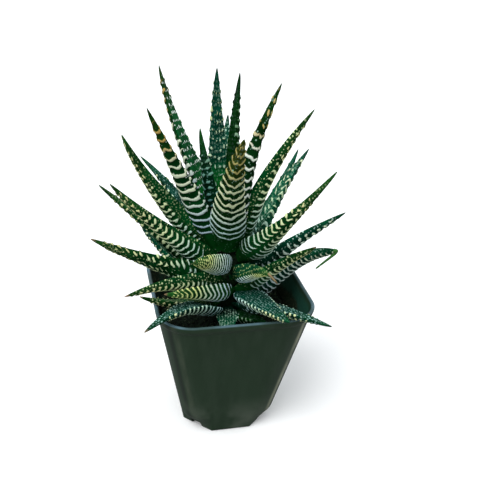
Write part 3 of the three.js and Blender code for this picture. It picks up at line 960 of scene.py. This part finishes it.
@dataclass
class Leaf:
    """One tapering fleshy leaf on a curved line from the stem to its tip.

    Angles are degrees around the axis from +X. Arch lifts the middle of the line, sway moves it to the
    side, and the turns roll the leaf about its own line. Neck is the width at the root as a share of the
    full width, and blunt rounds the tip. Stem reach is how far from the axis a leaf starts: less for each
    millimetre above stem bend, down to the least.
    """

    name: str
    root_around: float
    root_height: float
    tip_around: float
    tip_reach: float
    tip_height: float
    arch: float
    sway: float
    width: float
    turn_root: float
    turn_tip: float
    tone: Tone = Tone.DEEP
    banding: Banding = Banding()
    dry_tip: float = 0.0
    blunt: float = 0.05
    taper: float = 1.15
    start: float = -0.04
    thickness: float = 5.6
    relief: float = 0.44
    widest_at: float = 0.22
    neck: float = 0.72
    row_spacing: float = 0.42
    outer_points: int = 28
    inner_points: int = 14
    trace_points: int = 80
    over_share: float = 0.1
    under_share: float = 0.78
    least_half: float = 0.4
    soft_end: float = 30.0
    stop: float = 0.998
    stem_reach: float = 8.5
    stem_bend: float = 92.0
    stem_slope: float = 0.28
    stem_least: float = 3.2

    def line(self) -> tuple[Array, Array, Array, Array]:
        """The three control points of the leaf's line, a parabola, and the level direction across it."""
        above = max(self.root_height - self.stem_bend, 0.0)
        reach = max(self.stem_reach - self.stem_slope * above, self.stem_least)
        root = polar(self.root_around, reach, self.root_height)
        tip = polar(self.tip_around, self.tip_reach, self.tip_height)
        level = polar(self.tip_around + 90.0, 1.0, 0.0)
        lift = unit(np.cross(unit(tip - root), level))
        middle = (root + tip) / 2.0 + lift * 2.0 * self.arch + level * 2.0 * self.sway
        return root, middle, tip, level

    def width_share(self, along: Array) -> Array:
        """Width over full width: by a parabola up to 1 at widest_at, then down to 0 by a power, the taper."""
        part = np.clip(along, 0.0, None) / self.widest_at
        near = self.neck + (1.0 - self.neck) * part * (2.0 - part)
        far = 1.0 - np.clip((along - self.widest_at) / (1.0 - self.widest_at), 0.0, 1.0) ** self.taper
        return np.where(along < self.widest_at, near, far)

    def ridge(self, along: Array, across: Array, inside: Array, length: float, seed: int) -> Array:
        """The band field: above 0 on a raised band, below it between bands.

        It is the cosine of a phase that counts bands from the root. The phase is the distance along the
        leaf over the band spacing, bent across the outer face so that each band bows toward the root at
        the keel with a small peak in its middle, and rippled a little. Toward the tip and on the inner
        face a second wave across the leaf breaks the bands into dots. The field sinks at both ends, on
        the bare side, and on the inner face away from the margins.

        Args:
            along: Share of the way from root to tip.
            across: From -1 to 1 between the margins.
            inside: 1 on the inner face and 0 on the outer one.
            length: Length of the leaf's line.
            seed: Chooses the ripples.

        Returns:
            The field at each point.
        """
        rng = np.random.default_rng(seed)
        bands = self.banding
        off_keel = across - bands.keel - rng.uniform(-0.12, 0.12)
        one_side, other_side = (across + 1.0) / (1.0 + bands.keel), (1.0 - across) / (1.0 - bands.keel)
        toward = np.clip(np.where(off_keel < 0.0, one_side, other_side), 0.0, 1.0)
        if bands.split:
            toward = 1.0 - np.abs(2.0 * toward - 1.0)
        bow = bands.bow * toward**0.85 - bands.peak * np.exp(-((off_keel / 0.16) ** 2))
        wave = 0.12 * bands.spacing * ripples(along * length * 0.1, across, seed + 500, 0.5, 1.8)
        distance = np.clip(along * length + bands.spacing * bow + wave, 0.0, None)
        growth = 0.3 * bands.spacing / length
        phase = np.log1p(growth * distance / bands.spacing) / growth + rng.uniform()
        phase = phase + bands.split * smooth(-0.05, 0.05, off_keel)
        shift = np.sin(np.round(phase) * 12.9898 + seed) * 3.0
        fine_wave = 0.35 * ripples(along * length * 0.3, across * 2.0, seed + 900, 0.8, 2.0)
        broken = np.cos(math.tau * (bands.dots * across + shift)) + fine_wave
        broken = broken * np.maximum(smooth(bands.broken_from, bands.broken_from + 0.28, along), 0.9 * inside)
        thin = 0.38 * smooth(0.34, 0.04, along) + 0.25 * smooth(0.5, 0.8, along) - 0.20 * bands.bold
        field = np.cos(math.tau * phase) - bands.valley - thin + bands.broken * broken
        at_tip = bands.tip_fade * smooth(bands.ends_from, bands.ends_from + 0.2, along)
        # Near the root the field sinks and the pale bands fade out: partly the leaf's own pattern, partly
        # painted shade at the heart of the rosette.
        field -= at_tip + bands.root_fade * smooth(0.13, 0.01, along)
        field -= bands.bare_fade * self.bare_side(across, -0.12, 0.22)
        field -= bands.split_fade * bands.split * np.exp(-((off_keel / 0.09) ** 2))
        off_margin = smooth(0.03, 0.22, 1.0 - np.abs(across))
        field -= bands.inner_fade * inside * off_margin * (1.0 - bands.inner_share)
        return np.clip(field, -2.0, 1.6)

    def bare_side(self, across: Array, low: float, high: float) -> Array:
        """How far a point lies past the edge on the side without bands: 0 up to low, 1 from high."""
        bands = self.banding
        return abs(bands.bare) * smooth(low, high, (across - bands.edge) * bands.bare)

    def fine_dots(self, along: Array, across: Array, inside: Array) -> Array:
        """Where rows of fine dots show: inside, on the bare side and past the bands, fading at both ends."""
        bands = self.banding
        past_bands = 0.6 * smooth(bands.ends_from - 0.12, bands.ends_from + 0.04, along)
        at_tip = np.maximum(smooth(1.0, 0.82, along), min(1.0, 2.0 * self.blunt))
        where = np.maximum(np.maximum(inside, self.bare_side(across, -0.1, 0.15)), past_bands)
        return bands.fine * where * smooth(0.0, 0.15, along) * at_tip

    def lightness(self, across: Array, inside: Array) -> Array:
        """How far the skin takes the lighter inner colour: fully inside, and partly on the bare side."""
        return np.maximum(inside, 0.7 * self.bare_side(across, -0.1, 0.35))

    def skin(self, seed: int) -> Skin:
        """The leaf's closed surface on a grid of stations along it and points around it.

        With w from -1 to 1 across the leaf, the outer face lies under the leaf's line by its depth times
        (1 - |w|^1.6)^0.66, a soft keel, and the inner face is a shallow dish above the line. Width and depth
        go to 0 at the tip as the square root of 1 - t^roundness. Every point is then pushed out by the
        relief times a smooth step of the band field.

        Args:
            seed: Chooses the ripples of this leaf.

        Returns:
            The surface with its values for the finish.
        """
        root, middle, tip, level = self.line()
        trace = self._curve(np.linspace(0.0, 1.0, self.trace_points)[:, None], root, middle, tip)
        length = float(np.linalg.norm(np.diff(trace, axis=0), axis=1).sum())
        rows = int(length * (1.0 - self.start) / self.row_spacing) + 2
        t = np.linspace(self.start, self.stop, rows)[:, None]
        centre = self._curve(t, root, middle, tip)
        ahead = unit(2 * (1 - t) * (middle - root) + 2 * t * (tip - middle))
        side = unit(level - ahead * (ahead @ level)[:, None])
        inward = np.cross(ahead, side)
        turn = np.radians(self.turn_root + (self.turn_tip - self.turn_root) * t)
        across_axis = side * np.cos(turn) + inward * np.sin(turn)
        up_axis = inward * np.cos(turn) - side * np.sin(turn)
        share = np.clip(self.width_share(t), 0.0, None)
        share = share + self.blunt * (1.0 - share) * smooth(0.4, 1.0, t)
        roundness = self.soft_end / (1.0 + 4.0 * self.blunt)
        end = np.sqrt(np.clip(1.0 - np.clip(t, 0.0, 1.0) ** roundness, 0.0, 1.0))
        half = (share * self.width / 2.0 + self.least_half) * end
        over = (share * self.thickness * self.over_share + 0.1) * end
        under = (share**0.85 * self.thickness * self.under_share + 0.5) * end
        v_out = np.linspace(0.0, math.pi, self.outer_points, endpoint=False)
        v_in = np.linspace(0.0, math.pi, self.inner_points, endpoint=False)
        w = np.concatenate([np.cos(v_out), -np.cos(v_in)])[None, :]
        inside = np.concatenate([np.zeros(self.outer_points), smooth(0.0, 0.25, np.sin(v_in))])[None, :]
        outer_depth = -((1.0 - np.abs(w) ** 1.6) ** 0.66)
        dish = (1.0 - w**2) ** 0.4 * (1.0 - 0.55 * (1.0 - w**2))
        is_inner = np.arange(self.outer_points + self.inner_points)[None, :] >= self.outer_points
        x = half * w
        y = np.where(is_inner, over * dish, under * outer_depth)
        along, across, inside = (np.broadcast_to(each, x.shape) for each in (t, w, inside))
        field = self.ridge(along, across, inside, length, seed)
        dx = np.roll(x, -1, axis=1) - np.roll(x, 1, axis=1)
        dy = np.roll(y, -1, axis=1) - np.roll(y, 1, axis=1)
        scale = np.maximum(np.hypot(dx, dy), TINY)
        push = self.relief * smooth(-0.3, 0.55, field) * np.clip(half / 1.6, 0.0, 1.0)
        x, y = x - dy / scale * push, y + dx / scale * push
        points = centre[:, None] + across_axis[:, None] * x[..., None] + up_axis[:, None] * y[..., None]
        values = {
            "ridge": with_poles(field, -2.0, -2.0),
            "along": with_poles(along, 0.0, 1.0),
            "inner": with_poles(self.lightness(across, inside), 0.0, 0.0),
            "dry": with_poles(self.dry_tip * smooth(0.955, 0.985, along), 0.0, self.dry_tip),
            "down": with_poles(along * length, 0.0, length),
            "wide": with_poles(half * w, 0.0, 0.0),
            "fine": with_poles(self.fine_dots(along, across, inside), 0.0, 0.0),
        }
        return closed_skin(points, centre[0], tip, values)

    @staticmethod
    def _curve(t: Array, root: Array, middle: Array, tip: Array) -> Array:
        """Points of the parabola: (1 - t)^2 root + 2 t (1 - t) middle + t^2 tip."""
        return (1 - t) ** 2 * root + 2 * t * (1 - t) * middle + t**2 * tip


@dataclass
class DriedEnd:
    """A thin shrivelled strip that hangs from a leaf's tip.

    Each bend is an angle in degrees, a distance from the axis and a height. The strip starts hidden in
    the leaf, and softness is the number of points that each point of its line is averaged over.
    """

    bends: tuple[Triple, ...]
    dryness: float
    width: float = 1.4
    thickness: float = 1.0
    hidden: float = 1.5
    rings: int = 40
    ring_points: int = 10
    softness: int = 9

    def skin(self) -> Skin:
        """The strip's closed surface: ellipses along a softened line through the bends, ever narrower."""
        known = np.array([polar(*bend) for bend in self.bends])
        outward = unit(known[0] * np.array([1.0, 1.0, 0.0]))
        known = np.vstack([known[0] - self.hidden * outward, known])
        t = np.linspace(0.0, len(known) - 1.0, self.rings)
        line = np.stack([np.interp(t, np.arange(len(known)), known[:, k]) for k in range(3)], -1)
        kernel = np.hanning(self.softness) / np.hanning(self.softness).sum()
        padded = np.pad(line, ((self.softness // 2, self.softness // 2), (0, 0)), mode="edge")
        line = np.stack([np.convolve(padded[:, k], kernel, mode="valid") for k in range(3)], -1)
        ahead = unit(np.gradient(line, axis=0))
        level = unit(np.stack([-line[:, 1], line[:, 0], np.zeros(len(line))], -1))
        level = unit(level - ahead * (ahead * level).sum(-1, keepdims=True))
        inward = np.cross(ahead, level)
        share = (1.0 - 0.6 * np.linspace(0.0, 1.0, len(line)) ** 2)[:, None]
        angle = circle(self.ring_points)
        x = self.width / 2.0 * share * np.cos(angle)
        y = self.thickness / 2.0 * share * np.sin(angle)
        grid = line[:, None] + level[:, None] * x[..., None] + inward[:, None] * y[..., None]
        skin = closed_skin(grid, line[0], line[-1])
        same = {"ridge": -2.0, "along": 0.97, "inner": 0.5, "dry": self.dryness, "wide": 0.0}
        same["fine"] = 0.9 - self.dryness
        skin.values = {name: np.full(len(skin.points), value) for name, value in same.items()}
        skin.values["down"] = skin.points[:, 2]
        return skin


DRIED_ENDS = {
    "leaf_14": DriedEnd(((280, 46, 102), (282.5, 47.5, 99.5), (285, 46, 97)), 0.8, 1.1, 0.8),
    "leaf_20": DriedEnd(((328.5, 52.2, 102.2), (328, 51.6, 100.8), (322, 44.3, 93.4)), 0.6, 2.4, 1.8),
}


# Name; angle and height of the root; angle, reach and height of the tip; arch and sway; width; turns
LEAVES = (
    Leaf("leaf_01", 132, 108, 136, 42, 175, -2, 2, 14, 9, 19, Tone.DEEP,
         Banding(3.4, -0.4, 0.1, 0.84, fine=1, dots=1.6)),
    Leaf("leaf_02", 190, 97, 198, 42, 166, 0, 0.4, 14.5, 27, 12, Tone.DEEP,
         Banding(3.7, 0.1, 0.85, 0.86, bow=0.4, keel=0.85, peak=0.1, fine=0)),
    Leaf("leaf_03", 176, 94.5, 184, 50, 152, -3.7, -3, 17.5, 52, 31, Tone.WARM,
         Banding(2.8, 0.4, 0.05, 0.94, bare=1, edge=0.4, fine=0.35, keel=0.2, dots=2.0), taper=0.92),
    Leaf("leaf_04", 137, 88, 129, 60.5, 125.2, 2.5, -1.7, 10, 8, 10, Tone.BLUE,
         Banding(3.0, -0.4, fine=0.2)),
    Leaf("leaf_05", 195, 88, 191, 57, 132.5, -1.9, -2, 13, 56, 46, Tone.WARM,
         Banding(2.9, -0.2, 0.42, 0.86, bare=1, edge=0.85, fine=0.8, keel=0.35, bow=1.2, dots=1.5),
         taper=0.88),
    Leaf("leaf_06", 168, 77, 172, 61, 125, 0.6, -1, 11.5, 0, 0, Tone.WARM,
         Banding(2.8, -0.8, 0.1, 0.8, fine=0.6, dots=1.8)),
    Leaf("leaf_07", 198, 80, 193, 67, 109, -1.8, -1, 15, 58, 58, Tone.WARM,
         Banding(2.7, -0.9, -0.2, 0.84, split=0.5, keel=0.1, bow=1.2, dots=1.7, fine=1),
         dry_tip=0.5, taper=0.88),
    Leaf("leaf_08", 218, 75, 214, 63.5, 90.7, 5.3, 1, 15, 56, 50, Tone.WARM,
         Banding(2.6, 0.4, 0.55, 0.86, bare=1, edge=0.62, keel=0.5, bow=1.1, fine=1), dry_tip=0.8),
    Leaf("leaf_09", 275, 74, 221, 46.5, 87.6, 0, -1.8, 13, 48, 43, Tone.YOUNG,
         Banding(2.3, 0.5, 0.65, 0.84, keel=0.3, bow=1.9), dry_tip=0.9, neck=0.2),
    Leaf("leaf_10", 202, 66, 201, 48, 79.7, -1, 1, 11, 13, 16, Tone.WARM,
         Banding(2.4, -1.0, 0.2, 0.8, fine=0.8), dry_tip=0.6),
    Leaf("leaf_11", 230, 62.6, 224, 62.7, 77.2, 6.8, 0, 13.4, 6, 16, Tone.BLUE,
         Banding(2.5, -0.15, 0.5, 0.7, fine=0.8, bow=1.1), dry_tip=0.4, neck=0.4),
    Leaf("leaf_12", 262, 64.5, 258.5, 35, 71.4, -2.4, 0, 11, 0, 0, Tone.TEAL,
         Banding(1.5, -4.0, 0.9, 0.95, bare=1, edge=-1.3, fine=0.75), blunt=0.65, neck=0.35),
    Leaf("leaf_13", 264, 87.5, 238, 44, 106.4, 0.6, -2.9, 11.2, 52, 53, Tone.YOUNG,
         Banding(1.7, 0.25, 0.45, 0.86, bow=1.8, keel=-0.3, peak=0.1), dry_tip=0.3, neck=0.12),
    Leaf("leaf_14", 277, 82, 280, 46, 102, 2.4, 3.8, 10.5, -42, -44, Tone.YOUNG,
         Banding(1.9, 0.0, 0.6, 0.85, bare=-1, edge=-0.3, keel=-0.55, bow=1.4, fine=0.9), neck=0.2),
    Leaf("leaf_15", 310, 73.6, 283, 61.2, 87, -0.4, 0.5, 14, -2, 1, Tone.BLUE,
         Banding(2.6, 0.0, 0.4, 0.86, fine=0.5), neck=0.3),
    Leaf("leaf_16", 316, 66, 302.5, 65, 79.8, 2.9, -1.6, 13, -11, -14, Tone.BLUE,
         Banding(2.2, -0.9, 0.0, 0.8, fine=1)),
    Leaf("leaf_17", 319, 92, 308, 55, 147, -2.7, -5.4, 13, -58, -25, Tone.WARM,
         Banding(2.9, -0.3, 0.35, 0.72, split=0.5, keel=-0.25, bow=0.5, dots=1.6), taper=0.72),
    Leaf("leaf_18", 337, 79, 336, 53.6, 119, 1, 3, 14, -45, -35, Tone.ICE,
         Banding(2.9, 0.0, 0.0, 0.85, bare=-1, edge=-0.7, fine=1, dots=1.4)),
    Leaf("leaf_19", 312, 75, 314, 46.3, 108.2, 1.4, 3.8, 13.5, -19, -19, Tone.WARM,
         Banding(2.5, 0.4, 0.6, 0.85, bare=-1, edge=-0.65, keel=-0.5, fine=1), dry_tip=0.5),
    Leaf("leaf_20", 328, 67, 329, 52.2, 102.5, 2, 11, 15.5, -58, -58, Tone.ICE,
         Banding(2.8, -0.15, 0.95, 0.98, bare=-1, edge=-0.45, keel=0.2, fine=0.5), blunt=0.25),
    Leaf("leaf_21", 316, 100, 321, 37, 167.4, 3, -5.2, 12.5, -18, -15, Tone.WARM,
         Banding(3.2, 0.0, 0.42, 0.84, bare=-1, edge=-0.5, keel=-0.3, fine=1)),
    Leaf("leaf_22", 350, 90, 6, 37.7, 141.2, 1.7, 1, 12, -14, -2, Tone.TEAL,
         Banding(2.9, -0.5, 0.0, 0.84, 0.9, bow=1.3, keel=-0.4, fine=0.3, dots=0.7)),
    Leaf("leaf_23", 35, 89.5, 36, 50.5, 132.7, -0.6, -0.6, 11, -25, -30, Tone.TEAL,
         Banding(3.2, -0.6, 0.2, 0.8, 0.2, fine=0.1)),
    Leaf("leaf_24", 286, 101, 316, 22.3, 176.5, 0, -10, 12, -15, -15, Tone.WHITE,
         Banding(4.1, -0.8, 0.64, 0.9, dots=1.5, bow=0.5)),
    Leaf("leaf_25", 66, 107, 73, 20.7, 173.6, 1.5, 1.9, 13.9, -64, -65, Tone.SHADOWED,
         Banding(3.0, -1.2, 0.0, 0.8, fine=0.05)),
    Leaf("leaf_26", 110, 105, 96, 28.7, 173.9, 0, 1.4, 12.5, 10, 16, Tone.HEART,
         Banding(3.6, -0.9, 0.1, 0.84, 0.85, fine=0.15, dots=2.2)),
    Leaf("leaf_27", 82, 100, 81, 52, 145.3, -2.7, 1.4, 10, 3, 5, Tone.HEART),
    Leaf("leaf_28", 186, 107, 186, 15.7, 153.7, -0.6, 0.5, 12, 10, 5, Tone.SHADE,
         Banding(2.6, -1.2, 0.0, 0.7, dots=1.6, fine=0.1)),
    Leaf("leaf_29", 251, 99, 262, 48.5, 162.7, 1.2, -1.7, 15.2, -12, -11, Tone.OCHRE,
         Banding(3.8, 0.1, 0.76, 0.92, bow=0.8)),
    Leaf("leaf_30", 38, 74, 47, 58, 82, 0, 0, 13.5, 0, 0),
    Leaf("leaf_31", 78, 84, 76, 60, 118, 0, 0, 14, 0, 0),
    Leaf("leaf_32", 108, 76, 103, 64, 94, 0, 0, 14, 0, 0, Tone.WARM),
    Leaf("leaf_33", 62, 67, 62, 60, 84, 2, 0, 13, 0, 0, Tone.BLUE),
    Leaf("leaf_34", 92, 66, 90, 58, 85, 3, 0, 13, 0, 0),
    Leaf("leaf_35", 122, 84, 116, 56, 106, 0, 0, 13, 0, 0, Tone.WARM),
    Leaf("leaf_36", 10, 68, 12, 44, 80, 0, 0, 12, 0, 0, Tone.BLUE),
    Leaf("leaf_37", 174, 68, 180, 41.8, 106.7, 0, 0, 13, 0, 0, Tone.TEAL,
         Banding(2.0, -0.2, 0.0, 0.9, dots=1.6, fine=0.8)),
    Leaf("leaf_38", 292, 62, 290, 34, 70, 0, 0, 11, 0, 0, Tone.SHADOWED,
         Banding(2.2, -1.2, fine=0.1)),
)


@dataclass(frozen=True)
class Rosette:
    """All the leaves of the plant, on the same lines, widths and turns as the solids."""

    leaves: tuple[Leaf, ...] = LEAVES
    first_seed: int = 40

    def build(self, effects: Effects) -> None:
        """Makes every leaf and has it stand for its solid."""
        materials = {tone: tone.value.build(effects) for tone in Tone}
        for seed, leaf in enumerate(self.leaves, self.first_seed):
            skin = leaf.skin(seed)
            if leaf.name in DRIED_ENDS:
                skin = skin.joined(DRIED_ENDS[leaf.name].skin())
            piece = make_piece(leaf.name + "_blade", skin, materials[leaf.tone])
            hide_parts(leaf.name)


# Floor, lights and camera


@dataclass
class Studio:
    """Pale floor, soft lights and the camera.

    Angles are radians, focal length is in picture pixels and places are millimetres. The floor is in
    metres. Each sun has a name, a direction that it comes from, a spread in degrees and a power.
    """

    yaw: float = 0.2412
    tilt: float = 0.4443
    roll: float = 0.0515
    focal_pixels: float = 671.98
    distance: float = 324.37
    target_x: float = 5.2072
    target_z: float = 97.7109
    floor_size: float = 12.0
    floor_colour: Colour = (0.97, 0.97, 0.97)
    floor_bounce: Colour = (0.2, 0.21, 0.21)
    sensor: float = 36.0
    picture_pixels: float = 480.0
    sky: Colour = (0.93, 0.97, 1.0)
    sky_power: float = 0.72
    suns: tuple[tuple[str, Triple, float, float], ...] = (
        ("key", (-0.45, -0.55, 1.0), 45.0, 2.5),
        ("side", (0.9, 0.3, 0.6), 50.0, 0.7),
    )

    def to_part(self, vector: Array) -> Array:
        """Turns a direction or place from the camera's level frame into the part's frame."""
        c, s = math.cos(self.yaw), math.sin(self.yaw)
        x, y, z = vector
        return np.array([x * c + y * s, -x * s + y * c, z])

    def build(self) -> None:
        """Makes the floor, the lights, the sky light and the camera."""
        self._floor()
        self._lights()
        self._camera()

    def _floor(self) -> None:
        """A wide pale plane under the pot, which gives back less light than it shows."""
        half = self.floor_size / 2.0
        mesh = bpy.data.meshes.new("floor")
        corners = [(-half, -half, 0), (half, -half, 0), (half, half, 0), (-half, half, 0)]
        mesh.from_pydata(corners, [], [(0, 1, 2, 3)])
        nodes = Surface("floor_paint")
        shader = nodes.shader
        shader.inputs["Base Color"].default_value = (*self.floor_colour, 1.0)
        shader.inputs["Roughness"].default_value = 0.9
        shader.inputs["Specular IOR Level"].default_value = 0.0
        dim = nodes.add("ShaderNodeBsdfDiffuse", {"Color": (*self.floor_bounce, 1.0)})
        seen = nodes.add("ShaderNodeLightPath").outputs["Is Camera Ray"]
        shown = nodes.add("ShaderNodeMixShader", {0: seen, 1: dim.outputs[0], 2: shader.outputs[0]})
        output = next(node for node in nodes.tree.nodes if node.type == "OUTPUT_MATERIAL")
        nodes.link(shown.outputs[0], output.inputs[0])
        mesh.materials.append(nodes.material)
        floor = add_object("floor", mesh)

    def _lights(self) -> None:
        """A wide soft sun above the left front, a weak one from the right, and an even sky."""
        for name, place, spread, power in self.suns:
            data = bpy.data.lights.new(name, "SUN")
            data.angle = math.radians(spread)
            data.energy = power
            lamp = add_object(name, data)
            lamp.location = self.to_part(np.array(place))
            lamp.rotation_mode = "QUATERNION"
            lamp.rotation_quaternion = Vector(-self.to_part(np.array(place))).to_track_quat("-Z", "Y")
        world = bpy.data.worlds.new("sky")
        world.use_nodes = True
        background = world.node_tree.nodes["Background"]
        background.inputs[0].default_value = (*self.sky, 1.0)
        background.inputs[1].default_value = self.sky_power
        bpy.context.scene.world = world
        bpy.context.scene.view_settings.view_transform = "Standard"
        bpy.context.scene.view_settings.look = "None"

    def _camera(self) -> None:
        """A camera at the photo's angle: ahead, right and up, rolled a little and turned into the frame."""
        ahead = np.array([0.0, math.cos(self.tilt), -math.sin(self.tilt)])
        right = np.array([1.0, 0.0, 0.0])
        up = np.array([0.0, math.sin(self.tilt), math.cos(self.tilt)])
        c, s = math.cos(self.roll), math.sin(self.roll)
        right, up = c * right + s * up, -s * right + c * up
        place = np.array([self.target_x, 0.0, self.target_z]) - self.distance * ahead
        columns = [self.to_part(right), self.to_part(up), -self.to_part(ahead), self.to_part(place) * MM]
        matrix = np.eye(4)
        matrix[:3, :] = np.stack(columns, axis=1)
        data = bpy.data.cameras.new("camera")
        data.sensor_width = self.sensor
        data.lens = self.focal_pixels * self.sensor / self.picture_pixels
        data.clip_start = 0.01
        data.clip_end = 30.0
        camera = add_object("camera", data)
        camera.matrix_world = Matrix(matrix.tolist())
        bpy.context.scene.camera = camera


def main() -> None:
    """Builds the pot, the soil, the stem, the leaves and the studio."""
    logging.basicConfig(level=logging.INFO)
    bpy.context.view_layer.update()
    effects = Effects()
    pot = Pot()
    pot.build(PotFinish(), effects)
    soil_finish = CrumbFinish("soil_crumbs", (0.001, 0.0034, 0.0014), (0.01, 0.025, 0.011))
    chip_finish = CrumbFinish("soil_bark", (0.006, 0.015, 0.006), (0.09, 0.125, 0.065))
    Soil().build(pot, soil_finish, chip_finish, effects)
    Stem().build(CrumbFinish("stem_sheath", (0.001, 0.008, 0.002), (0.006, 0.03, 0.007)), effects)
    Rosette().build(effects)
    Studio().build()


if __name__ == "__main__":
    main()
